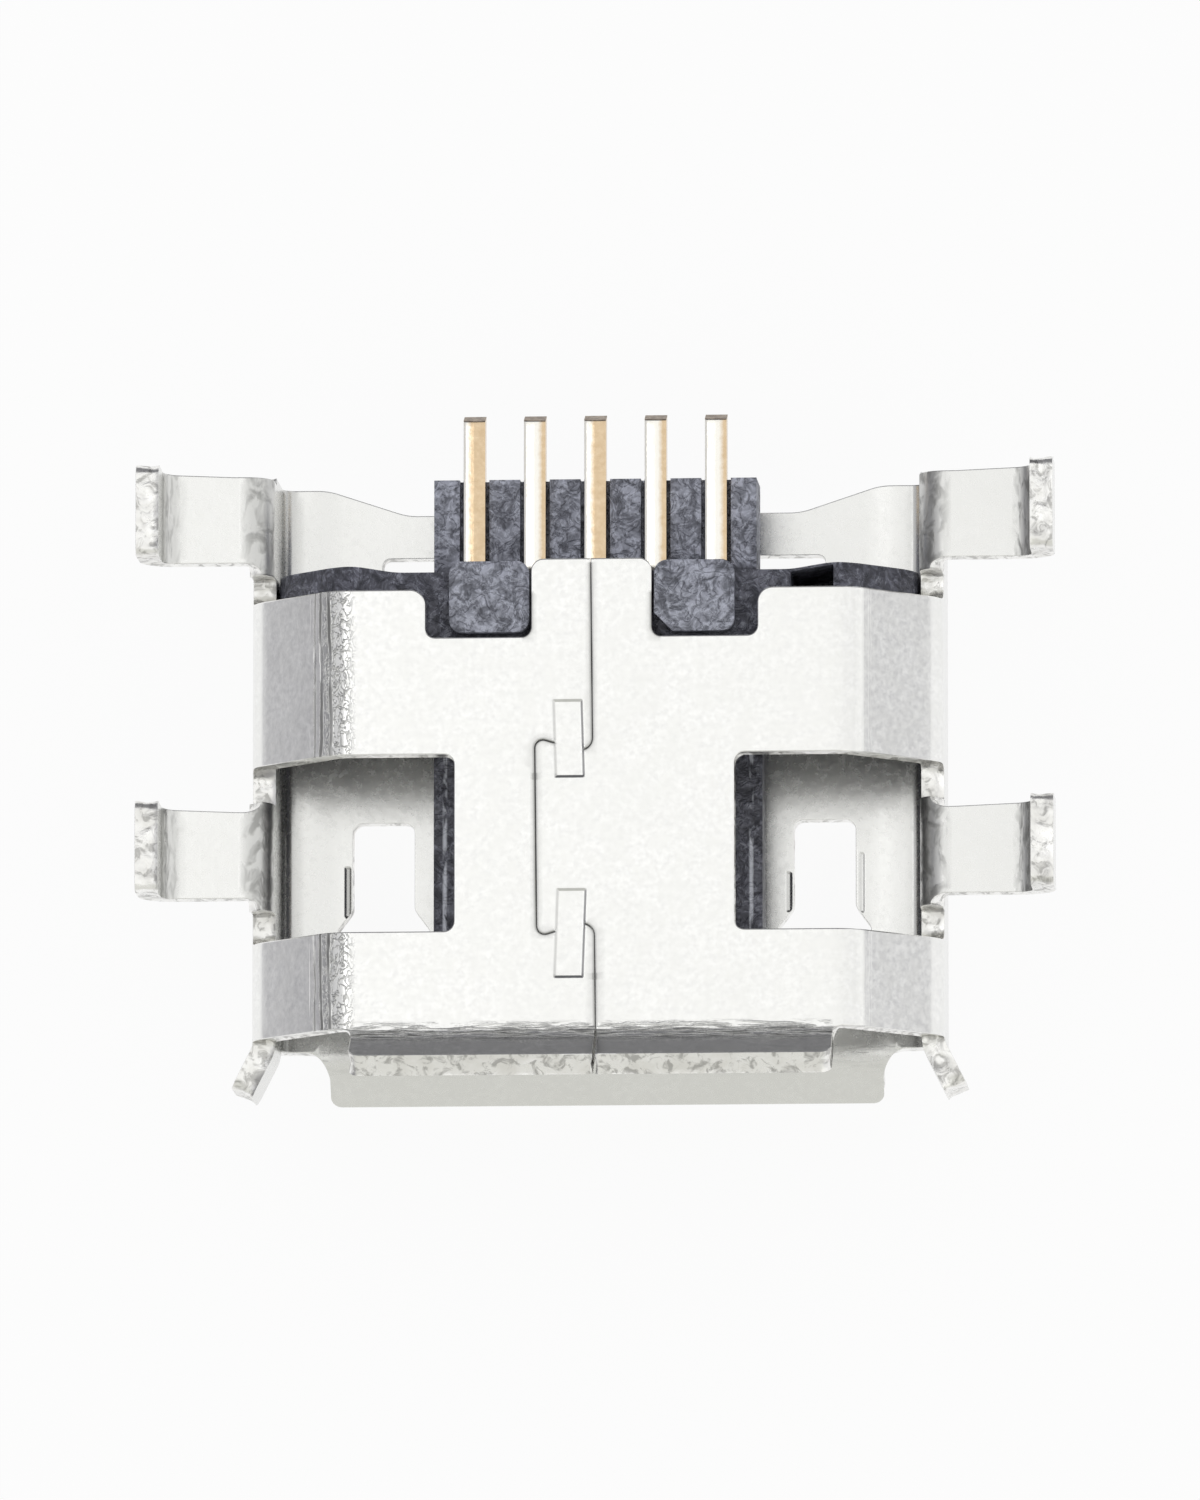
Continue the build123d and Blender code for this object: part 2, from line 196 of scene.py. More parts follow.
def tin_plate():
    """Satin tin plate: mottled, with long creases in the tube's bends, crazing at legs and lips, and painted
    shade in the leg bends, at the stakes, dents and inner corners and beside the seam.
    """
    n = new_material("tin_plate")
    here = n.place()
    crease, wrinkle, stretch_and_painted_shade = n.attribute("crease"), n.attribute("wrinkle"), n.attribute("stretch_and_painted_shade")
    flare, inner = n.attribute("flare"), n.attribute("depth")
    pebble = n.noise(here, 14000, 3, 0.6)
    patch = n.noise(here, 5200, 3, 0.6)
    cloud = n.noise(here, 1500, 3, 0.55)
    round_the_tube = n.add("SeparateXYZ", {"Vector": n.place(source="UV")}).outputs["X"]
    wobble = n.noise(n.place((70, 26, 1), "UV"), 1.0, 3, 0.55)
    breaks = n.noise(n.place((150, 34, 1), "UV"), 1.0, 2, 0.5)
    turned = n.times(round_the_tube, LINE_TURN)
    lines = n.math("ADD", turned, n.times(wobble, LINE_WANDER))
    worms = n.noise(n.place((330, 170, 1), "UV"), 1.0, 2, 0.5, 1.6)
    streak = n.noise(n.place((210, 90, 1), "UV"), 1.0, 3, 0.55, 0.6)
    ripple = n.noise(n.place((50, 420, 1), "UV"), 1.0, 4, 0.65, 0.6)
    veins = n.thin_lines(worms, 0.07, 0.75)
    whole = n.ramp(breaks, 0.36, 0.48, 0.35, 1)
    lined = n.times(n.ramp(n.math("SINE", lines), 0.10, 0.70), whole)
    creased = n.math("MAXIMUM", n.times(crease, lined), n.times(wrinkle, veins))
    stretched_and_shaded = n.times(stretch_and_painted_shade, n.ramp(streak, 0.38, 0.54, 1, 0.40))
    flared = n.times(flare, n.ramp(ripple, 0.40, 0.54, 1, 0))
    sharp = n.math("MAXIMUM", creased, flared)
    wear_and_painted_shade = n.math("MAXIMUM", sharp, stretched_and_shaded)
    colour = n.mix(n.ramp(pebble, 0.36, 0.64), (0.885, 0.885, 0.875, 1), (0.985, 0.985, 0.97, 1))
    colour = n.mix(n.ramp(patch, 0.44, 0.60, 0, 0.6), colour, (0.91, 0.91, 0.89, 1))
    colour = n.mix(n.ramp(cloud, 0.40, 0.60, 0, 0.3), colour, (0.89, 0.89, 0.87, 1))
    colour = n.mix(n.times(inner, 0.45), colour, (0.80, 0.80, 0.78, 1))
    # creases and crazing, with painted shade in the leg bends, pull the colour to dark grey
    colour = n.mix(n.times(wear_and_painted_shade, 0.78), colour, (0.27, 0.27, 0.26, 1))
    # painted shade from the wall values: stakes' walls, beside the seam, dents and inner corners
    colour = n.mix(n.ramp(n.attribute("wall"), 0.0, 1.0, 0, 0.85), colour, (0.28, 0.28, 0.27, 1))
    rough = n.math("ADD", n.ramp(pebble, 0.3, 0.7, 0.15, 0.23), n.times(inner, 0.07))
    rough = n.math("ADD", rough, n.times(wear_and_painted_shade, 0.18))
    normal = n.bump(pebble, 2e-6, 0.35)
    normal = n.bump(cloud, 12e-6, 0.3, normal)
    normal = n.bump(sharp, 14e-6, 0.6, normal)
    normal = n.bump(stretched_and_shaded, 9e-6, 0.5, normal)
    return n.done(colour, rough, normal, 1.0)


def torn_edge():
    """Sheared edge of the sheet: a smooth burnished band, then a rough torn one."""
    n = new_material("torn_edge")
    here = n.place()
    tear = n.noise(here, 7600, 4, 0.6, 0.8)
    patches = n.noise(here, 3600, 3, 0.6)
    colour = n.mix(n.ramp(patches, 0.45, 0.65), (0.99, 0.985, 0.965, 1), (0.90, 0.89, 0.86, 1))
    # dark spots: partly the duller torn metal, partly painted shade in its pits
    colour = n.mix(n.ramp(tear, 0.38, 0.50, 0.75, 0), colour, (0.40, 0.395, 0.38, 1))
    normal = n.bump(tear, 14e-6, n.ramp(n.attribute("depth"), 0.1, 0.4, 0.25, 0.7))
    return n.done(colour, n.ramp(patches, 0.3, 0.7, 0.24, 0.36), normal, 1.0)


TONGUE_HIGHLIGHT = 1.65  # of the painted highlight lines along the tongue, on both sides of its middle


def moulding():
    """Black glass-filled plastic: blue-grey, with dark flow lines, painted light on the bosses' tops and the
    block behind, and a painted highlight line along the tongue.
    """
    n = new_material("moulding")
    here = n.place()
    skin = n.noise(here, 6400, 3, 0.65, 1.2)
    worms = n.noise(here, 5200, 3, 0.6, 1.2)
    fibres = n.noise(here, 10000, 3, 0.6, 1.0)
    flow = n.thin_lines(worms, 0.065)
    pale = n.thin_lines(fibres, 0.055)
    cloud = n.noise(here, 2600, 2, 0.5)
    where = n.add("SeparateXYZ", {"Vector": here})
    # painted light: the bosses' tops and the block behind get a lit copy of the plastic, lighter and with
    # more pale flecks; the rest gets a shaded copy
    on_bosses = n.ramp(where.outputs["Z"], 2.16 * MM, 2.24 * MM)
    on_block = n.ramp(where.outputs["Y"], 1.96 * MM, 2.02 * MM)
    painted_light_share = n.math("MAXIMUM", on_bosses, on_block)
    shaded_plastic = n.mix(n.ramp(skin, 0.36, 0.62), (0.055, 0.057, 0.072, 1), (0.170, 0.172, 0.215, 1))
    lit_plastic = n.mix(n.ramp(skin, 0.36, 0.60), (0.160, 0.168, 0.200, 1), (0.450, 0.465, 0.550, 1))
    colour = n.mix(painted_light_share, shaded_plastic, lit_plastic)
    colour = n.mix(n.ramp(cloud, 0.42, 0.62, 0, 0.30), colour, (0.110, 0.114, 0.140, 1))
    colour = n.mix(n.times(flow, 0.55), colour, (0.045, 0.046, 0.060, 1))
    pale_share = n.times(n.ramp(skin, 0.46, 0.60, 0, 0.7), n.ramp(painted_light_share, 0, 1, 0.5, 1))
    colour = n.mix(n.times(pale, pale_share), colour, (0.58, 0.61, 0.70, 1))
    # painted highlight: a broken pale line along each side of the tongue, ending at Y 0.9 to 1.0 mm
    across = n.math("SUBTRACT", n.math("ABSOLUTE", where.outputs["X"]), TONGUE_HIGHLIGHT * MM)
    line = n.ramp(n.math("ABSOLUTE", across), 0.012 * MM, 0.030 * MM, 1, 0)
    line = n.times(line, n.ramp(where.outputs["Y"], 0.9 * MM, 1.0 * MM, 1, 0))
    highlight_dashes = n.noise(n.place((9000, 3200, 1000)), 1.0, 2, 0.6, 0.6)
    colour = n.mix(n.times(line, n.ramp(highlight_dashes, 0.42, 0.54)), colour, (0.70, 0.72, 0.80, 1))
    height = n.math("SUBTRACT", skin, n.times(flow, 0.35))
    return n.done(colour, n.ramp(skin, 0.3, 0.7, 0.55, 0.38), n.bump(height, 34e-6, 0.8))


def gold_plate():
    """Thin gold plate, drawn along the contact, with a near-white painted highlight on one side of each
    contact.
    """
    n = new_material("gold_plate")
    drawn = n.noise(n.place((16000, 1200, 16000)), 1.0, 4, 0.6)
    spots = n.noise(n.place(), 12000, 3, 0.6)
    painted_highlight = n.math("ADD", n.attribute("painted_highlight"), n.ramp(spots, 0.3, 0.7, -0.03, 0.03))
    colour = n.mix(n.ramp(spots, 0.35, 0.7), (0.70, 0.53, 0.34, 1), (0.80, 0.63, 0.43, 1))
    # painted highlight: near white over part of each contact's width
    colour = n.mix(n.ramp(painted_highlight, -0.12, 0.10), colour, (0.98, 0.955, 0.89, 1))
    normal = n.bump(spots, 5e-6, 0.5, n.bump(drawn, 3e-6, 0.4))
    return n.done(colour, n.ramp(drawn, 0.3, 0.7, 0.13, 0.24), normal, 1.0)


def cut_contact():
    """Sheared end of a contact: dull brown-grey alloy."""
    n = new_material("cut_contact")
    tear = n.noise(n.place(), 15000, 5, 0.65)
    colour = n.mix(n.ramp(tear, 0.4, 0.6), (0.25, 0.20, 0.16, 1), (0.50, 0.43, 0.36, 1))
    return n.done(colour, n.ramp(tear, 0.3, 0.7, 0.38, 0.6), n.bump(tear, 12e-6, 0.8), 1.0)


# Folded sheet

class Fold:
    """Flat run of straights and bends: places and headings at distances along it."""

    def __init__(self, points, radii):
        points = [np.array(p, float) for p in points]
        self.starts, self.places, self.headings, self.bends = [], [], [], []
        self.length = 0.0
        before = points[0]
        for i in range(1, len(points)):
            way = points[i] - points[i - 1]
            heading = atan2(way[1], way[0])
            if i == len(points) - 1:
                self._piece(before, heading, 0.0, hypot(*(points[i] - before)))
                break
            after = points[i + 1] - points[i]
            turn = (atan2(after[1], after[0]) - heading + pi) % (2 * pi) - pi
            trim = radii[i - 1] * tan(abs(turn) / 2)
            start = points[i] - way / hypot(*way) * trim
            self._piece(before, heading, 0.0, hypot(*(start - before)))
            self._piece(start, heading, turn / abs(turn) / radii[i - 1], radii[i - 1] * abs(turn))
            before = points[i] + after / hypot(*after) * trim

    def _piece(self, start, heading, bend, length):
        self.starts.append(self.length)
        self.places.append(start)
        self.headings.append(heading)
        self.bends.append(bend)
        self.length += length

    def at(self, distance):
        """Place, heading and bend (signed, per millimetre) at each distance."""
        distance = np.asarray(distance, float)
        index = np.clip(np.searchsorted(self.starts, distance, "right") - 1, 0, None)
        along = distance - np.array(self.starts)[index]
        start = np.array(self.places)[index]
        heading = np.array(self.headings)[index]
        bend = np.array(self.bends)[index]
        turned = heading + bend * along
        safe = np.where(bend == 0, 1.0, bend)
        x = np.where(bend == 0, np.cos(heading) * along, (np.sin(turned) - np.sin(heading)) / safe)
        y = np.where(bend == 0, np.sin(heading) * along, (np.cos(heading) - np.cos(turned)) / safe)
        return start + np.stack([x, y], -1), turned, bend

    def lines(self, low, high, flat_step, bend_step):
        """Distances of the grid lines between two distances, closer in the bends."""
        ends = self.starts + [self.length]
        found = []
        for i, bend in enumerate(self.bends):
            a, b = max(low, ends[i]), min(high, ends[i + 1])
            if b - a < 1e-6:
                continue
            count = max(1, ceil((b - a) / (bend_step if bend else flat_step)))
            found.extend(np.linspace(a, b, count, endpoint=False))
        return np.array(found + [high])


def rounded(points, radii, closed=False):
    """Points of an outline with its corners rounded; a radius of 0 keeps the corner."""
    points = [np.array(p, float) for p in points]
    count = len(points)
    out = []
    for i, point in enumerate(points):
        radius = radii[i]
        if not radius or (not closed and i in (0, count - 1)):
            out.append(point)
            continue
        one = points[i - 1] - point
        two = points[(i + 1) % count] - point
        one, two = one / hypot(*one), two / hypot(*two)
        half = np.arccos(np.clip(one @ two, -1, 1)) / 2
        trim = radius / tan(half)
        centre = point + (one + two) / hypot(*(one + two)) * radius / sin(half)
        start, end = point + one * trim - centre, point + two * trim - centre
        first, sweep = atan2(start[1], start[0]), atan2(end[1], end[0])
        sweep = (sweep - first + pi) % (2 * pi) - pi
        steps = max(2, ceil(abs(sweep) * radius / 0.025))
        for k in range(steps + 1):
            angle = first + sweep * k / steps
            out.append(centre + radius * np.array([cos(angle), sin(angle)]))
    return np.array(out)


def resampled(points, step, closed=True):
    """The same outline with no edge longer than the step."""
    points = np.asarray(points, float)
    ends = np.roll(points, -1, 0) if closed else points[1:]
    starts = points if closed else points[:-1]
    out = []
    for a, b in zip(starts, ends):
        length = hypot(*(b - a))
        if length < 1e-6:
            continue
        count = ceil(length / step)
        out.extend(a + (b - a) * k / count for k in range(count))
    if not closed:
        out.append(points[-1])
    return np.array(out)


def right_of(way):
    """Unit directions on the right-hand side of others."""
    way = way / np.linalg.norm(way, axis=1)[:, None]
    return np.stack([way[:, 1], -way[:, 0]], 1)


def inset(loop, distance):
    """A closed loop moved towards its left-hand side."""
    left = -right_of(np.roll(loop, -1, 0) - loop)
    before = np.roll(left, 1, 0)
    both = left + before
    scale = 1 + np.sum(left * before, 1)
    return loop + both / np.maximum(scale, 0.35)[:, None] * distance


def turning(loop):
    """Twice the signed area of a loop."""
    x, y = loop[:, 0], loop[:, 1]
    return np.sum(x * np.roll(y, -1) - y * np.roll(x, -1))


def inside(points, loops):
    """Whether each point lies in the sheet, by counting the edges beside it."""
    a = np.concatenate(loops)
    b = np.concatenate([np.roll(loop, -1, 0) for loop in loops])
    result = np.zeros(len(points), bool)
    for start in range(0, len(points), 4000):
        p = points[start:start + 4000, None, :]
        spans = (a[:, 1] > p[..., 1]) != (b[:, 1] > p[..., 1])
        rise = np.where(b[:, 1] == a[:, 1], 1.0, b[:, 1] - a[:, 1])
        cross = a[:, 0] + (p[..., 1] - a[:, 1]) / rise * (b[:, 0] - a[:, 0])
        result[start:start + 4000] = np.sum(spans & (p[..., 0] < cross), 1) % 2 == 1
    return result


def growing(value, start, length):
    """0 up to the start, 1 from there plus the length."""
    return np.clip((value - start) / length, 0, 1)


def fading(value, end, length):
    """1 up to the end less the length, 0 from the end."""
    return np.clip((end - value) / length, 0, 1)


# Fold lines: round half the tube, along a leg, and over each kind of lip
HALF_MID = OUTER_WIDTH / 2 - SHEET / 2
TOP_MID = OUTER_HEIGHT - SHEET / 2
TOP_SPARE = 1.5  # the tube's line runs past the middle of the narrow face by this much
LIP_LEAD = 0.001  # a lip's line starts this far behind the mouth's edge
slant = np.array([NARROW_WIDTH - OUTER_WIDTH, 2 * (OUTER_HEIGHT - SLANT_HEIGHT)])
slant /= hypot(*slant)
slant_start = np.array([OUTER_WIDTH / 2, SLANT_HEIGHT]) + np.array([-slant[1], slant[0]]) * SHEET / 2
low_corner = slant_start + slant * (HALF_MID - slant_start[0]) / slant[0]
high_corner = slant_start + slant * (TOP_MID - slant_start[1]) / slant[1]
tube = Fold(
    [(0, SHEET / 2), (HALF_MID, SHEET / 2), low_corner, high_corner, (-TOP_SPARE, TOP_MID)],
    [CORNER + SHEET / 2, SLANT_BEND + SHEET / 2, SLANT_BEND + SHEET / 2],
)
WALL_START = tube.starts[2]  # where the side wall begins, past the corner
WALL_FOOT = tube.places[2][1]  # its height there
LAST_BEND = tube.starts[5]  # where the slanted face bends into the narrow one
TOP_LENGTH = tube.length - TOP_SPARE  # from the middle of the wide face to the middle of the narrow one
WALL_LENGTH = WALL_START + RELIEF - WALL_FOOT


def leg_fold(span):
    """Line of a leg: up the side wall, out at the board seat, and up its tip."""
    tip_x, seat_z = span / 2 - SHEET / 2, SEAT - SHEET / 2
    line = [(HALF_MID, RELIEF), (HALF_MID, seat_z), (tip_x, seat_z), (tip_x, TIP)]
    return Fold(line, [LEG_BEND + SHEET / 2, MID_BEND])


leg = leg_fold(LEG_SPAN)
LEGS = (leg, leg_fold(LEG_SPAN - LEFT_SHORT))  # of the +X side and of the other one


def lip_fold(angle, run):
    """Line of a lip that flares by an angle in degrees and runs on flat past its bend."""
    corner = MID_BEND * tan(radians(angle) / 2)
    reach = corner + run
    end = (corner + reach * cos(radians(angle)), reach * sin(radians(angle)))
    return Fold([(-LIP_LEAD, 0), (corner, 0), end], [MID_BEND])


wide_lip = lip_fold(35, 0.40)
side_lip = lip_fold(27, 0.47)
narrow_lip = lip_fold(57, 0.37)
WIDE, SIDE, NARROW = range(3)  # numbers of the lips
LIP_FOLDS = (wide_lip, side_lip, narrow_lip)


def on_top(x):
    """Flat-pattern distance of a place on the narrow face, for the +X half."""
    return TOP_LENGTH - x


# Edges: radii that their corners are rolled to, and the seam with its lock
EDGE_ROLL = 0.006
BURR_ROLL = 0.002
LIP_SEAM_ROLL = 0.012
SEAM = 0.012
SEAM_LEAN = 0.010  # the seam runs a little towards +X on its way to the mouth
SEAM_GAP = 0.005
SEAM_SHADE = 0.040  # width of the painted shade beside the seam
LIP_SEAM_GAP = 5.4  # the flared lips open the seam to this many times its gap
LOCK_REACH = 0.62
LOCK_SPREAD = 0.19
LOCK_FRONT = MOUTH + 1.165
LOCK_REAR = LOCK_FRONT + 1.78
LOCK_RADIUS = 0.09
LOCK_NECK_RADIUS = 0.13
TAB_REACH = 0.325  # of the tab behind the narrow face

# Stakes and dents
STAKE_DEPTH = 0.014
DENT_DEPTH = 0.030
PRESS_WALL = 0.006  # half of a stake's or dent's wall, seen from above
# middle, half width, half length and lean of each stake (narrow face) and each dent (wide face)
STAKES = (
    (-0.242, LOCK_REAR + 0.17, 0.150, 0.41, -0.030),
    (-0.227, LOCK_FRONT - 0.15, 0.150, 0.47, 0.035),
)
DENTS = (
    (-2.772, -1.320, 0.028, 0.27, 0.0),
    (1.998, -1.355, 0.025, 0.21, 0.0),
    (2.786, -1.258, 0.022, 0.32, 0.0),
)
DENT_SHARES = (0.75, 0.35, 0.20)  # of the full depth and of the painted shade

# Steps of the mesh
EDGE_STEP = 0.036
SEAM_STEP = 0.018
FLAT_STEP = 0.085
BEND_STEP = 0.03
RINGS = (0.0, 0.006, 0.014, 0.030)  # distances of the mesh's lines from a cut edge
INWARD = 1.0  # stands for the distance of every point further in


def inward(x, y, presses):
    """How far inside the wall of a stake or dent each place lies."""
    found = np.full(len(x), -9.0)
    for centre_x, centre_y, half_x, half_y, lean in presses:
        aside = abs(x - centre_x - lean * (y - centre_y))
        found = np.maximum(found, np.minimum(half_x - aside, half_y - abs(y - centre_y)))
    return found


def press_depth(x, y, presses):
    """How deep each place is pressed, as a share of the full depth."""
    return np.clip(inward(x, y, presses) / (2 * PRESS_WALL) + 0.5, 0, 1)


def press_lines(centre, half):
    """Grid lines across a stake or dent, with a pair of them at each wall."""
    shifts = (-0.02, -PRESS_WALL, PRESS_WALL, 0.02)
    walls = [centre + side * half + shift for side in (-1, 1) for shift in shifts]
    inner = max(half - 0.04, 0)
    floor = np.linspace(centre - inner, centre + inner, ceil(inner / SEAM_STEP) + 1)
    return np.unique(np.concatenate([walls, floor]))


def press_patch(centre_x, centre_y, half_x, half_y, lean):
    """Grid over a stake or dent."""
    grid = np.meshgrid(press_lines(centre_x, half_x), press_lines(centre_y, half_y))
    patch = np.stack(grid, -1).reshape(-1, 2)
    patch[:, 0] += lean * (patch[:, 1] - centre_y)
    return patch


def seam_edge(side):
    """Edge of one half at the seam, from the lip's end to the tab's end, as (X, Y)."""
    locked = SEAM - LOCK_REACH
    line = rounded(
        [(SEAM, MOUTH - narrow_lip.length), (SEAM, LOCK_FRONT), (locked, LOCK_FRONT - LOCK_SPREAD),
         (locked, LOCK_REAR + LOCK_SPREAD), (SEAM, LOCK_REAR), (SEAM, NARROW_REAR + TAB_REACH)],
        [0, LOCK_NECK_RADIUS, LOCK_RADIUS, LOCK_RADIUS, LOCK_NECK_RADIUS, 0],
    )
    line = resampled(line, 0.035, closed=False)
    line[:, 0] -= SEAM_LEAN * line[:, 1]
    x, y = line[:, 0], line[:, 1]
    right = right_of(np.gradient(line, axis=0))
    # the gap wanders, is wider in the lock, opens in the flared lip and is pressed shut in the stakes
    wander = np.array([1 + 0.8 * noise.noise(Vector((0, v * 1.7, 0))) for v in y])
    width = np.where(x < locked + 0.05, 1.5, 1.0) * wander
    open_share = np.clip((MOUTH - y) / narrow_lip.length, 0, 1)
    width = np.where(y < MOUTH, 0.5 + (LIP_SEAM_GAP - 0.5) * open_share ** 0.5, width)
    width = np.where(press_depth(x, y, STAKES) > 0, 0.08, width)
    return resampled(line + right * (side * width * SEAM_GAP / 2)[:, None], SEAM_STEP, closed=False)


# Legs: front and rear edge of each, and how its root widens and its rear edge tapers
FRONT_LEG = (MOUTH + 1.495, MOUTH + 2.495)
REAR_LEG = (2.065, 3.065)
LEG_ROOT = 0.12
LEG_TAPER = 0.07
LEG_ROOT_END = 0.42
LEG_RUN_OUT = 0.55
LEG_TIP_RADIUS = 0.10


def leg_outline(front, rear, rear_root, length):
    """Edge of a leg from its root's front, round its tip, to its root's rear, as (distance, Y)."""
    join = LEG_RUN_OUT + 0.1
    front_part = rounded(
        [(0, front - LEG_ROOT), (LEG_ROOT_END, front - LEG_ROOT), (LEG_ROOT_END, front), (join, front)],
        [0, 0, LEG_ROOT * 0.98, 0],
    )
    base = rear - LEG_TAPER
    joined = (join, base + LEG_TAPER / (length - LEG_RUN_OUT) * 0.1)
    tip = rounded(
        [(join, front), (length, front), (length, rear), joined], [0, LEG_TIP_RADIUS, LEG_TIP_RADIUS, 0])
    if rear_root:
        rear_part = rounded(
            [joined, (LEG_ROOT_END, base), (LEG_ROOT_END, base + LEG_ROOT), (0, base + LEG_ROOT)],
            [0, LEG_ROOT * 0.98, 0, 0],
        )
    else:
        rear_part = np.array([(LEG_RUN_OUT, base), (0, base)])
    return np.concatenate([front_part, tip[1:], rear_part[1:]])


# Outline of the flat pattern, where a number for each side is given for +X first
WIDE_LIP_HALVES = (3.01, 2.97)
WIDE_LIP_ROOT = 0.249
SIDE_LIP_HEIGHTS = (0.435, 1.215)
SIDE_LIP_ROOT = 0.04
NARROW_LIP_HALF = 2.58
NARROW_LIP_ROOT = 0.10
LIP_RADIUS = 0.12
TAB_HALF = 0.645
TAB_RADIUS = 0.13
NOTCH_END = 1.785
NOTCH_DEPTH = 0.52
NOTCH_RADIUS = 0.11
SHOULDER_RADIUS = 0.16
RELIEF_RADIUS = 0.12
HOLLOW_DEPTH = 0.285
HOLLOW_HALVES = (2.99, 2.13)  # of the hollow in the wide face's rear edge: where it begins and is full
HOLLOW_RADIUS = 0.70
WINDOW_ENDS = (MOUTH + 1.045, MOUTH + 2.955)
WINDOW_EDGES = (1.53, 1.47)
WINDOW_RADIUS = 0.11
LATCH_PLACE = 2.385
ANCHOR_PLACE = 2.0


def of_side(pair, side):
    return pair[0] if side > 0 else pair[1]


def half_outline(side):
    """Outline of one half from the middle of the wide lip to the middle of the wide face's rear."""
    # wide lip, side lip and narrow lip, with the mouth's edge between them
    wide_half, wide_end = of_side(WIDE_LIP_HALVES, side), MOUTH - wide_lip.length
    wide = rounded(
        [(0, wide_end), (wide_half, wide_end), (wide_half, MOUTH), (3.35, MOUTH)],
        [0, LIP_RADIUS, WIDE_LIP_ROOT, 0],
    )
    low, high = (WALL_START - WALL_FOOT + height for height in SIDE_LIP_HEIGHTS)
    side_end = MOUTH - side_lip.length
    beside = rounded(
        [(low - 0.1, MOUTH), (low, MOUTH), (low, side_end), (high, side_end), (high, MOUTH),
         (high + 0.1, MOUTH)],
        [0, SIDE_LIP_ROOT, LIP_RADIUS, LIP_RADIUS, SIDE_LIP_ROOT, 0],
    )
    low, narrow_end = on_top(NARROW_LIP_HALF), MOUTH - narrow_lip.length
    narrow = rounded(
        [(low - 0.15, MOUTH), (low, MOUTH), (low, narrow_end), (low + 0.4, narrow_end)],
        [0, NARROW_LIP_ROOT, LIP_RADIUS, 0],
    )
    # seam, then the tab, notch and rear edge of the narrow face
    seam = seam_edge(side)
    seam = np.stack([on_top(side * seam[:, 0]), seam[:, 1]], 1)
    tab, notch, notch_end = on_top(TAB_HALF), on_top(NOTCH_END), NARROW_REAR - NOTCH_DEPTH
    behind = rounded(
        [seam[-1], (tab, NARROW_REAR + TAB_REACH), (tab, notch_end), (notch, notch_end),
         (notch, NARROW_REAR), (WALL_LENGTH, NARROW_REAR), (WALL_LENGTH, REAR_LEG[0] - LEG_ROOT)],
        [0, TAB_RADIUS, NOTCH_RADIUS, NOTCH_RADIUS, SHOULDER_RADIUS, RELIEF_RADIUS, 0],
    )
    rear_leg = leg_outline(*REAR_LEG, False, of_side(LEGS, side).length) + (WALL_LENGTH, 0)
    # rear edge of the side wall and of the wide face, with its shallow hollow
    hollow = REAR - HOLLOW_DEPTH
    rear = rounded(
        [(WALL_LENGTH, REAR), (HOLLOW_HALVES[0], REAR), (HOLLOW_HALVES[1], hollow), (0, hollow)],
        [0, HOLLOW_RADIUS, HOLLOW_RADIUS, 0],
    )
    outline = np.concatenate([wide, beside, narrow, seam, behind[1:], rear_leg, rear])
    outline[:, 0] *= side
    return outline


def leg_window(side):
    """Window that a front leg was bent out of, with the leg standing in it."""
    top = on_top(of_side(WINDOW_EDGES, side))
    front, rear = WINDOW_ENDS
    corners = rounded(
        [(WALL_LENGTH, FRONT_LEG[0]), (WALL_LENGTH, front), (top, front), (top, rear), (WALL_LENGTH, rear),
         (WALL_LENGTH, FRONT_LEG[1])],
        [0, RELIEF_RADIUS, WINDOW_RADIUS, WINDOW_RADIUS, RELIEF_RADIUS, 0],
    )
    front_leg = leg_outline(*FRONT_LEG, True, of_side(LEGS, side).length)[::-1] + (WALL_LENGTH, 0)
    outline = np.concatenate([corners[1:-1], front_leg])
    outline[:, 0] *= side
    return outline


def latch_window(side):
    """Bell-shaped window in the wide face."""
    rear = MOUTH + 2.495
    half = [(0.335, rear), (0.335, rear - 0.95), (0.50, rear - 1.17), (0.50, rear - 1.50)]
    points = half + [(-x, y) for x, y in reversed(half)]
    outline = rounded(points, [0.11] * len(points), closed=True)
    return outline + (side * LATCH_PLACE, 0)


def anchor_window(side):
    """Small window in the wide face, for the housing's anchor."""
    rear, length, half = MOUTH + 5.38, 0.60, 0.40
    points = [(-half, rear - length), (half, rear - length), (half, rear), (-half, rear)]
    return rounded(points, [0.08] * 4, closed=True) + (side * ANCHOR_PLACE, 0)


def section_frame(side, place, heading, bend, y):
    """Middle of the sheet, its two directions, outward normal and bend, for a fold across X and Z."""
    x, z = np.cos(heading), np.sin(heading)
    zero = np.zeros_like(x)
    middle = np.stack([side * place[:, 0], y, place[:, 1]], 1)
    across = np.stack([x, zero, side * z], 1)
    along = np.stack([zero, zero + 1, zero], 1)
    out = np.stack([side * z, zero, -x], 1)
    return middle, across, along, out, bend


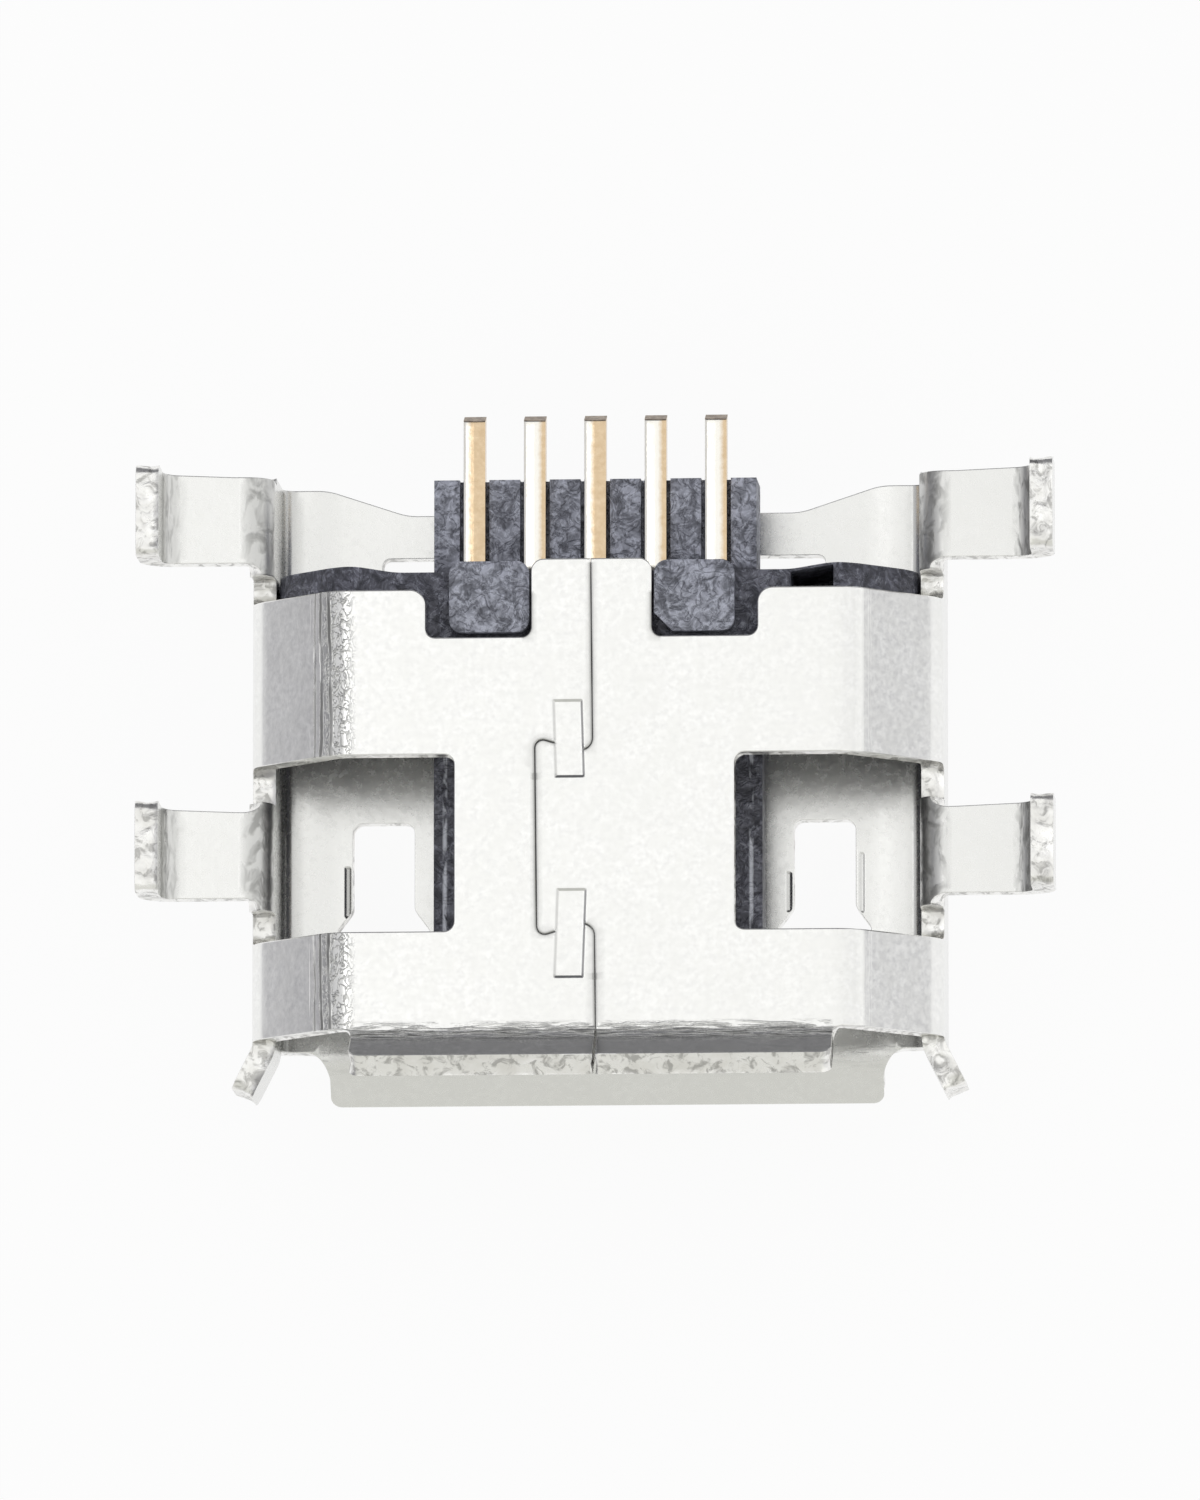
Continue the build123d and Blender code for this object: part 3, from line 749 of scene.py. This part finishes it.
def sheet_frame(flat, legs, lips):
    """Folds points of the flat pattern into space: section_frame's five values for each."""
    s, y = flat[:, 0], flat[:, 1]
    middle, across, along, out, bend = section_frame(
        np.where(s < 0, -1.0, 1.0), *tube.at(abs(s)), np.maximum(y, MOUTH))
    for side in (1, -1):
        pick = legs & (np.sign(s) == side)
        parts = section_frame(side, *of_side(LEGS, side).at(abs(s[pick]) - WALL_LENGTH), y[pick])
        for whole, part in zip((middle, across, along, out, bend), parts):
            whole[pick] = part
    forward = np.array([0.0, -1.0, 0.0])
    for which, lip in enumerate(LIP_FOLDS):
        pick = lips == which
        place, heading, turn = lip.at(MOUTH - y[pick] + LIP_LEAD)
        base = out[pick]
        middle[pick] += place[:, :1] * forward + place[:, 1:] * base
        c, d = np.cos(heading)[:, None], np.sin(heading)[:, None]
        along[pick] = -(c * forward + d * base)
        out[pick] = -d * forward + c * base
        bend[pick] = -turn
    return middle, across, along, out, bend


def on_legs(s, y, slack):
    """Whether each place lies on a leg."""
    rows = np.zeros(len(s), bool)
    for front, rear in (FRONT_LEG, REAR_LEG):
        rows |= (y > front - LEG_ROOT - slack) & (y < rear + LEG_ROOT)
    return rows & (abs(s) > WALL_LENGTH) & (abs(s) < WALL_LENGTH + leg.length + 0.1)


def on_lips(s, y):
    """Which lip each place lies on, or -1."""
    which = np.full(len(s), -1)
    ahead = y < MOUTH
    which[ahead & (abs(s) < 3.4)] = WIDE
    which[ahead & (abs(s) >= 3.4)] = SIDE
    which[ahead & (abs(s) > on_top(2.9))] = NARROW
    return which


# Mesh of the flat pattern

def pattern_loops():
    """Outline and windows of the flat pattern, with the sheet on the left of every loop."""
    loops = [np.concatenate([half_outline(1), half_outline(-1)[::-1]])]
    for side in (1, -1):
        loops.extend([leg_window(side), latch_window(side), anchor_window(side)])
    loops = [resampled(loop, EDGE_STEP) for loop in loops]
    for i, loop in enumerate(loops):
        if (turning(loop) > 0) != (i == 0):
            loops[i] = loop[::-1]
    return loops


def clear_of(boundary, candidates, margin):
    """The candidates that keep a margin from the cut edges."""
    close = np.zeros(len(candidates), bool)
    for start in range(0, len(candidates), 1500):
        block = candidates[start:start + 1500, None, :]
        close[start:start + 1500] = np.min(np.sum((block - boundary) ** 2, -1), 1) < margin ** 2
    return candidates[~close]


def sheet_grid(loops, boundary):
    """Grid over the tube, lips and legs, clear of the cut edges, stakes and dents."""
    half = tube.lines(0, TOP_LENGTH + 0.6, FLAT_STEP, BEND_STEP)
    across = np.concatenate([-half[:0:-1], half])
    along = np.concatenate([
        np.linspace(MOUTH - 0.64, MOUTH - 0.29, 5, endpoint=False),
        np.linspace(MOUTH - 0.29, MOUTH, 10, endpoint=False),
        np.linspace(MOUTH, REAR, 72),
    ])
    grid = np.stack(np.meshgrid(across, along), -1).reshape(-1, 2)
    grids = [grid[~on_legs(grid[:, 0], grid[:, 1], 0.01)]]
    out_lines = leg.lines(0.02, leg.length, FLAT_STEP, BEND_STEP) + WALL_LENGTH
    for front, rear in (FRONT_LEG, REAR_LEG):
        rows = np.linspace(front - LEG_ROOT, rear + LEG_ROOT, 15)
        for side in (1, -1):
            grids.append(np.stack(np.meshgrid(side * out_lines, rows), -1).reshape(-1, 2))
    grid = np.concatenate(grids)
    grid = grid[inside(grid, loops)]
    grid = clear_of(boundary, grid, RINGS[-1] + 0.022)
    x_top = np.sign(grid[:, 0]) * on_top(abs(grid[:, 0]))
    grid = grid[(abs(grid[:, 0]) < TOP_LENGTH - 1) | (inward(x_top, grid[:, 1], STAKES) < -0.035)]
    return grid[inward(grid[:, 0], grid[:, 1], DENTS) < -0.035]


def press_grids(loops, boundary):
    """Grids over the stakes and dents, with a line on each side of their walls."""
    patches = [press_patch(*dent) for dent in DENTS]
    for stake in STAKES:
        patch = press_patch(*stake)
        patches.extend(np.stack([sign * on_top(sign * patch[:, 0]), patch[:, 1]], 1) for sign in (1, -1))
    return [clear_of(boundary, patch[inside(patch, loops)], 0.012) for patch in patches]


def shell_mesh():
    """Points of the flat pattern, how far each lies from a cut edge, and the triangles between them."""
    loops = pattern_loops()
    points, depths, edges = [], [], []
    total = 0
    for loop in loops:
        count = len(loop)
        edges.extend((total + k, total + (k + 1) % count) for k in range(count))
        for distance in RINGS:
            points.append(inset(loop, distance) if distance else loop)
            depths.append(np.full(count, distance))
            total += count
    boundary = np.concatenate(loops)
    for grid in [sheet_grid(loops, boundary)] + press_grids(loops, boundary):
        points.append(grid)
        depths.append(np.full(len(grid), INWARD))
    flat, depth = np.concatenate(points), np.concatenate(depths)

    result = delaunay_2d_cdt([Vector(p) for p in flat], edges, [], 0, 1e-7)
    flat = np.array([tuple(v) for v in result[0]])
    faces = np.array(result[2])
    depth = np.array([min((depth[k] for k in joined), default=0.0) for joined in result[3]])
    faces = faces[inside(flat[faces].mean(1), loops)]
    used, faces = np.unique(faces, return_inverse=True)
    flat, depth, faces = flat[used], depth[used], faces.reshape(-1, 3)
    a, b, c = (flat[faces[:, k]] for k in range(3))
    flipped = (b[:, 0] - a[:, 0]) * (c[:, 1] - a[:, 1]) < (b[:, 1] - a[:, 1]) * (c[:, 0] - a[:, 0])
    faces[flipped] = faces[flipped][:, ::-1]
    return flat, depth, faces


# Skins and cut edges of the shell
BOW = 0.012  # the narrow half of each slanted face sinks by this much
EDGE_LEVELS = 6
BURNISHED = 0.15  # share of the thickness that the punch leaves smooth


def bent_share(flat, legs, lips):
    """Share of bent sheet round each place: bends reach a little into the flats beside them."""
    shifts = (-0.04, -0.02, 0, 0.02, 0.04)
    share = np.zeros(len(flat))
    for shift in shifts:
        moved = flat.copy()
        moved[:, 0] += np.where(lips >= 0, 0, shift) * np.sign(flat[:, 0])
        moved[:, 1] += np.where(lips >= 0, shift, 0)
        bend = sheet_frame(moved, legs, np.where(moved[:, 1] < MOUTH, lips, -1))[4]
        share += (bend != 0) / len(shifts)
    return share


def bend_looks(s, legs, lips, soft):
    """How strongly each kind of mark shows in the bends; most creases show on the -X side, and the leg
    bends' painted shade is heavier on the +X side.
    """
    arc = abs(s)
    tubular = ~legs & (lips < 0)
    from_bend = arc - LAST_BEND
    lined = growing(from_bend, -0.12, 0.05) * fading(from_bend, 0.17, 0.05)
    wormy = growing(from_bend, 0.02, 0.08) * fading(from_bend, 0.32, 0.10)
    # leg roots and tips: partly the duller tone of stretched tin, partly painted shade and dark reflection,
    # heavier on the +X side
    root = np.where(s > 0, 1.5 - 0.6 * growing(arc - WALL_LENGTH, 0.27, 0.25), 0.95)
    tip = np.where(s > 0, 1.4, 0.65)
    return {
        "crease": tubular * lined * np.where(s < 0, 1.0, 0.05),
        "wrinkle": tubular * wormy * np.where(s < 0, 0.8, 0.05),
        "stretch_and_painted_shade": soft * legs * np.where(arc < WALL_LENGTH + 0.8, root, tip),
        "flare": soft * np.where(lips == NARROW, 1.0, 0.15) * (lips >= 0),
    }


def rolled(radius, depth):
    """How far an edge rolled to a radius draws the skin back, at each distance from it."""
    short = np.clip(radius - depth, 0, None)
    return radius - np.sqrt(np.clip(radius ** 2 - short ** 2, 0, None))


def rim_of(faces):
    """Edges that only one triangle has."""
    directed = np.concatenate([faces[:, [0, 1]], faces[:, [1, 2]], faces[:, [2, 0]]]).tolist()
    keys = {(a, b) for a, b in directed}
    return np.array([(a, b) for a, b in directed if (b, a) not in keys])


def rim_normals(flat, rim):
    """Directions out of the flat pattern at the points of its rim."""
    normals = np.zeros((len(flat), 2))
    outward = right_of(flat[rim[:, 1]] - flat[rim[:, 0]])
    np.add.at(normals, rim[:, 0], outward)
    np.add.at(normals, rim[:, 1], outward)
    return normals / np.maximum(np.linalg.norm(normals, axis=1), 1e-6)[:, None]


def torn_amount(places, share):
    """How far the cut edge lies inside the outline, at a share of the way from the outer skin."""
    seeds = [Vector((s * 11, y * 11, share * 2.2)) for s, y in places]
    torn = np.array([0.5 + 0.6 * noise.fractal(seed, 0.6, 2.0, 3) for seed in seeds])
    roughness = np.clip(share - BURNISHED, 0, 0.3) / 0.3
    return -(0.002 + roughness * (0.004 + 0.020 * np.clip(torn, 0, 1)))


def build_shell():
    """The stamped sheet: the flat pattern folded, its two skins and the torn edges between them."""
    flat, depth, faces = shell_mesh()
    s, y = flat[:, 0], flat[:, 1]
    legs, lips = on_legs(s, y, 1e-4), on_lips(s, y)
    middle, across, along, out, _ = sheet_frame(flat, legs, lips)
    soft = bent_share(flat, legs, lips)
    tubular = ~legs & (lips < 0)
    arc = abs(s)
    # painted shade in the inner corners beside the wide face
    corner = soft * (tubular & (arc < WALL_START + 0.03)) * 0.38

    # stakes and dents, with painted shade on the stakes' walls, darker at their ends, and a band of painted
    # shade beside the seam
    x_top = np.sign(s) * on_top(arc)
    on_narrow = arc > TOP_LENGTH - 1
    beside = np.where(y < NARROW_REAR - 0.05, 0.75, 0.12)
    along_seam = (arc > TOP_LENGTH - beside) & (y > MOUTH) & (y < NARROW_REAR + 0.29)
    lip_seam = (arc > TOP_LENGTH - 0.3) & (y < MOUTH)
    pressed = np.where(on_narrow, press_depth(x_top, y, STAKES), 0)
    dented = np.max([share * press_depth(s, y, (dent,)) for dent, share in zip(DENTS, DENT_SHARES)], 0)
    wall = np.where(on_narrow, np.clip(1 - abs(inward(x_top, y, STAKES)) / (2 * PRESS_WALL), 0, 1), 0)
    wall += along_seam * (pressed == 0) * np.clip(1 - depth / SEAM_SHADE, 0, 1) * 1.5
    near_end = np.min([abs(y - (centre_y - half_y)) for _, centre_y, _, half_y, _ in STAKES], 0) < 0.03
    wall *= np.where(near_end, 1.3, 0.75) * np.where(along_seam & (pressed == 0), 0.9, 1.0)

    # two skins, whose edges the punch rolls more on the outside than on the burr's side
    outer_roll = np.where(pressed > 0, 0, np.where(lip_seam, LIP_SEAM_ROLL, EDGE_ROLL))
    rise = growing(arc, 2.85, 0.35) * fading(arc, WALL_START, 0.3)
    middle -= out * (tubular * BOW * rise ** 2 * (3 - 2 * rise))[:, None]
    high = SHEET / 2 - rolled(outer_roll, depth) - pressed * STAKE_DEPTH
    low = SHEET / 2 - rolled(BURR_ROLL, depth) - dented * DENT_DEPTH
    outer = middle + out * high[:, None]
    inner = middle - out * low[:, None]

    # cut edges between the skins, in levels from the outer one
    rim = rim_of(faces)
    rim_points, rim_ends = np.unique(rim, return_inverse=True)
    count, rims = len(flat), len(rim_points)
    normals = rim_normals(flat, rim)
    push = across * normals[:, :1] + along * normals[:, 1:]
    side_points, side_depth = [], []
    for k in range(1, EDGE_LEVELS):
        share = k / EDGE_LEVELS
        height = high * (1 - share) - low * share
        base = middle[rim_points] + out[rim_points] * height[rim_points][:, None]
        side_points.append(base + push[rim_points] * torn_amount(flat[rim_points], share)[:, None])
        side_depth.append(np.full(rims, share))

    between = 2 * count + np.arange(rims * (EDGE_LEVELS - 1)).reshape(-1, rims)
    rings = [rim_points, *between, rim_points + count]
    a, b = rim_ends.reshape(-1, 2).T
    quads = np.concatenate([
        np.stack([high_ring[a], high_ring[b], low_ring[b], low_ring[a]], 1)
        for high_ring, low_ring in zip(rings, rings[1:])])
    vertices = np.concatenate([outer, inner] + side_points)
    all_faces = faces[:, ::-1].tolist() + (faces + count).tolist() + quads.tolist()
    mesh = bpy.data.meshes.new("folded_shell")
    mesh.from_pydata((vertices * MM).tolist(), [], all_faces, shade_flat=False)
    mesh.polygons.foreach_set("material_index", np.arange(len(all_faces)) >= 2 * len(faces))

    # sharp edges round both skins
    both_rims = np.sort(np.concatenate([rim, rim + count]), 1)
    sharp = set(map(tuple, both_rims.tolist()))
    mesh.edges.foreach_set("use_edge_sharp", [edge.key in sharp for edge in mesh.edges])

    # values and coordinates for the materials
    side_zero = np.zeros(rims * (EDGE_LEVELS - 1))
    for name, values in bend_looks(s, legs, lips, soft).items():
        add_values(mesh, name, np.clip(np.concatenate([values, values, side_zero]), 0, 1))
    # inner skin: painted shade in the dents and in the inner corners
    add_values(mesh, "wall", np.concatenate([wall, np.maximum(dented, corner), side_zero]))
    add_values(mesh, "depth", np.concatenate([np.zeros(count), np.ones(count)] + side_depth))
    flat_all = np.concatenate([flat, flat] + [flat[rim_points]] * (EDGE_LEVELS - 1))
    uv = mesh.uv_layers.new(name="flat_pattern")
    loop_vertex = np.zeros(len(mesh.loops), int)
    mesh.loops.foreach_get("vertex_index", loop_vertex)
    uv.data.foreach_set("uv", (flat_all[loop_vertex] / PATTERN_SIZE + 0.5).astype(np.float32).ravel())
    mesh.update()
    return add_object("folded_shell", mesh)


# Moulding and contacts

HOUSING_EDGE = 0.018  # width of its rounded edges


def housing_piece():
    """Copy of the housing's solid with its edges rounded a little."""
    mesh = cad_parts["housing"].data.copy()
    mesh.name = "moulded_housing"
    mesh.materials.clear()
    shape = bmesh.new()
    shape.from_mesh(mesh)
    bmesh.ops.remove_doubles(shape, verts=shape.verts, dist=1e-7)
    bmesh.ops.dissolve_limit(shape, angle_limit=radians(1), verts=shape.verts, edges=shape.edges)
    shape.to_mesh(mesh)
    shape.free()
    piece = add_object("moulded_housing", mesh)
    bevel = piece.modifiers.new("soft_edges", "BEVEL")
    bevel.width = HOUSING_EDGE * MM
    bevel.segments = 2
    bevel.limit_method = "ANGLE"
    bevel.angle_limit = radians(35)
    bevel.harden_normals = True
    mesh.shade_smooth()
    return piece


CONTACT_PITCH = 0.65
CONTACT_WIDTH = 0.235
CONTACT_THICK = 0.20
CONTACT_CORNER = 0.016
TAIL_END = 3.66
CONTACT_JOG = (1.93, 1.45)  # the contact slants down between these places behind the tongue
TONGUE_LEVEL = 1.17
TONGUE_END = -1.98
CONTACT_CROWN = 0.006
TAIL_ROLL = 0.02
TAIL_SLANT = 0.075
HIGHLIGHT_SHARES = (0.26, 0.74, 0.34, 0.72, 0.76)  # share of each contact's width, from its -X side, that carries the painted highlight


def contact_section():
    """Section of a contact: crowned top, round upper corners and sharp lower ones."""
    half, thick = CONTACT_WIDTH / 2, CONTACT_THICK / 2
    shoulder = thick - CONTACT_CROWN
    corners = [(-half, -thick), (half, -thick), (half, shoulder), (0, thick), (-half, shoulder)]
    return resampled(rounded(corners, [0, 0, 0, half, CONTACT_CORNER], closed=True), 0.03)


def contact_piece(number, x):
    """One contact: a crowned strip along its bent path, with a rolled and sheared tail end."""
    tail_level = SEAT - CONTACT_THICK / 2
    path = Fold(
        [(TAIL_END, tail_level), (CONTACT_JOG[0], tail_level), (CONTACT_JOG[1], TONGUE_LEVEL),
         (TONGUE_END, TONGUE_LEVEL)],
        [0.20, 0.20],
    )
    rolled_steps = TAIL_ROLL * (1 - np.cos(np.linspace(0, pi / 2, 7)))[:-1]
    steps = np.concatenate([rolled_steps, path.lines(TAIL_ROLL, path.length, 0.06, 0.02)])
    place, heading, _ = path.at(steps)
    section = contact_section()
    rows = []
    for step, (y, z), angle in zip(steps, place, heading):
        up = np.array([sin(angle), -cos(angle)])  # the path runs towards the mouth
        flatter = 1 - rolled(TAIL_ROLL, step) / (CONTACT_THICK / 2)
        ring = section.copy()
        ring[:, 1] = np.where(ring[:, 1] > 0, ring[:, 1] * flatter, ring[:, 1])
        lean = TAIL_SLANT * (ring[:, 1] / CONTACT_THICK + 0.5) * max(1 - step / 0.5, 0)
        rows.append([(x + u, y + up[0] * v - w, z + up[1] * v) for (u, v), w in zip(ring, lean)])
    size = len(section)
    vertices = np.concatenate([np.array(rows).reshape(-1, 3), rows[0], rows[-1]])
    faces = []
    for r in range(len(rows) - 1):
        for k in range(size):
            a, b = r * size + k, r * size + (k + 1) % size
            faces.append((a, b, b + size, a + size))
    body = len(rows) * size
    caps = [tuple(reversed(range(body, body + size))), tuple(range(body + size, body + 2 * size))]
    name = f"contact_strip_{number}"
    mesh = bpy.data.meshes.new(name)
    mesh.from_pydata((vertices * MM).tolist(), [], faces + caps)
    add_values(mesh, "painted_highlight", HIGHLIGHT_SHARES[number - 1] - (vertices[:, 0] - x) / CONTACT_WIDTH - 0.5)
    cut_rows = 4
    for polygon in mesh.polygons:
        polygon.use_smooth = polygon.index < len(faces)
        polygon.material_index = int(polygon.index < cut_rows * size or polygon.index >= len(faces))
    mesh.set_sharp_from_angle(angle=radians(40))
    return add_object(name, mesh)


# Studio

def make_floor():
    """Plain pale floor that keeps the shadow and looks white to the camera and in reflections."""
    size = 0.6
    mesh = bpy.data.meshes.new("floor")
    level = cad_box[0][2] - 0.01 * MM
    corners = [(-size, -size, level), (size, -size, level), (size, size, level), (-size, size, level)]
    mesh.from_pydata(corners, [], [(0, 1, 2, 3)])
    floor = add_object("floor", mesh)
    n = new_material("floor")
    n.fill(n.shader, {"Base Color": grey(0.88), "Roughness": 0.9})
    path = n.add("LightPath")
    seen = n.math("MAXIMUM", path.outputs["Is Camera Ray"], path.outputs["Is Glossy Ray"])
    seen = n.math("MAXIMUM", seen, path.outputs["Is Transmission Ray"])
    across = n.add("SeparateXYZ", {"Vector": n.place()}).outputs["X"]
    # reflections find the far left of the floor in shade
    shade_far, shade_near = -26 * MM, -11 * MM
    fade = n.ramp(across, shade_far, shade_near, 0.36, 0.95)
    fade_tint = n.mix(n.ramp(across, shade_far, shade_near), (0.95, 0.94, 1.0, 1), grey(1.0))
    glow = n.add("Emission", {
        "Color": n.mix(path.outputs["Is Camera Ray"], fade_tint, grey(1.0)),
        "Strength": n.math("MAXIMUM", fade, path.outputs["Is Camera Ray"]),
    })
    both = n.add("MixShader", {0: n.times(seen, 0.92), 1: n.shader, 2: glow})
    n.fill(n.tree.nodes["Material Output"], {"Surface": both})
    mesh.materials.append(n.owner)


# direction of each soft box, where its light starts and is full, and its level; the last is the front
LIGHT_BOXES = (
    ((-0.01, 0.12, 1.0), 0.92, 0.985, 0.80),
    ((1.0, 0.0, 0.9), 0.74, 0.87, 0.75),
    ((1.0, 0.0, 0.0), 0.90, 0.98, 0.28),
    ((-0.55, 0.10, 1.0), 0.85, 0.97, 0.48),
    ((-1.0, 0.0, -0.05), 0.80, 0.97, 0.15),
    ((0.0, -1.0, 0.45), 0.30, 0.80, 0.50),
)
EVEN_LIGHT = 0.80
BETWEEN_BOXES = 0.20


def make_world():
    """Plain studio: even light on every colour, and soft boxes that only the reflections show."""
    world = bpy.data.worlds.new("studio")
    bpy.context.scene.world = world
    n = Nodes(world, "Background")
    direction = n.add("TexCoord").outputs["Generated"]
    seen = BETWEEN_BOXES
    for way, low, high, level in LIGHT_BOXES:
        dot = n.add("VectorMath", {0: direction, 1: Vector(way).normalized()}, operation="DOT_PRODUCT")
        box = n.ramp(dot.outputs["Value"], low, high, 0.0, level, interpolation_type="SMOOTHSTEP")
        seen = n.math("ADD", box, seen)
    front = n.times(box, 1 / level)
    seen = n.math("MINIMUM", seen, 1.0)
    glossy = n.add("LightPath").outputs["Is Glossy Ray"]
    more = n.math("SUBTRACT", seen, EVEN_LIGHT)
    strength = n.math("MULTIPLY_ADD", glossy, more, EVEN_LIGHT)
    # dim directions are a little blue, bright ones and the front a little warm
    tint = n.mix(seen, (0.93, 0.93, 1.0, 1), (1.0, 1.0, 0.99, 1))
    n.fill(n.shader, {"Strength": strength, "Color": n.mix(front, tint, (1.0, 1.0, 0.955, 1))})


def make_lamp():
    """Large soft lamp above, behind and to the left, for the shadow."""
    data = bpy.data.lights.new("key", "AREA")
    data.shape = "DISK"
    data.size = 0.042
    data.energy = 0.0045
    key = add_object("key", data)
    key.location = (-0.062, 0.037, 0.26)
    key.rotation_euler = (-key.location).to_track_quat("-Z", "Y").to_euler()


bpy.context.scene.view_settings.view_transform = "Standard"
make_camera()
make_floor()
make_world()
make_lamp()

tin, torn, black, gold, cut = tin_plate(), torn_edge(), moulding(), gold_plate(), cut_contact()

shell = build_shell()
shell.data.materials.append(tin)
shell.data.materials.append(torn)
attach(shell, "root")
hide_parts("shell")

housing = housing_piece()
housing.data.materials.append(black)
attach(housing, "root")
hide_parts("housing")

for i in range(5):
    strip = contact_piece(i + 1, (i - 2) * CONTACT_PITCH)
    strip.data.materials.append(gold)
    strip.data.materials.append(cut)
    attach(strip, "root")
    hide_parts(f"contact_{i + 1}")

bpy.context.view_layer.update()
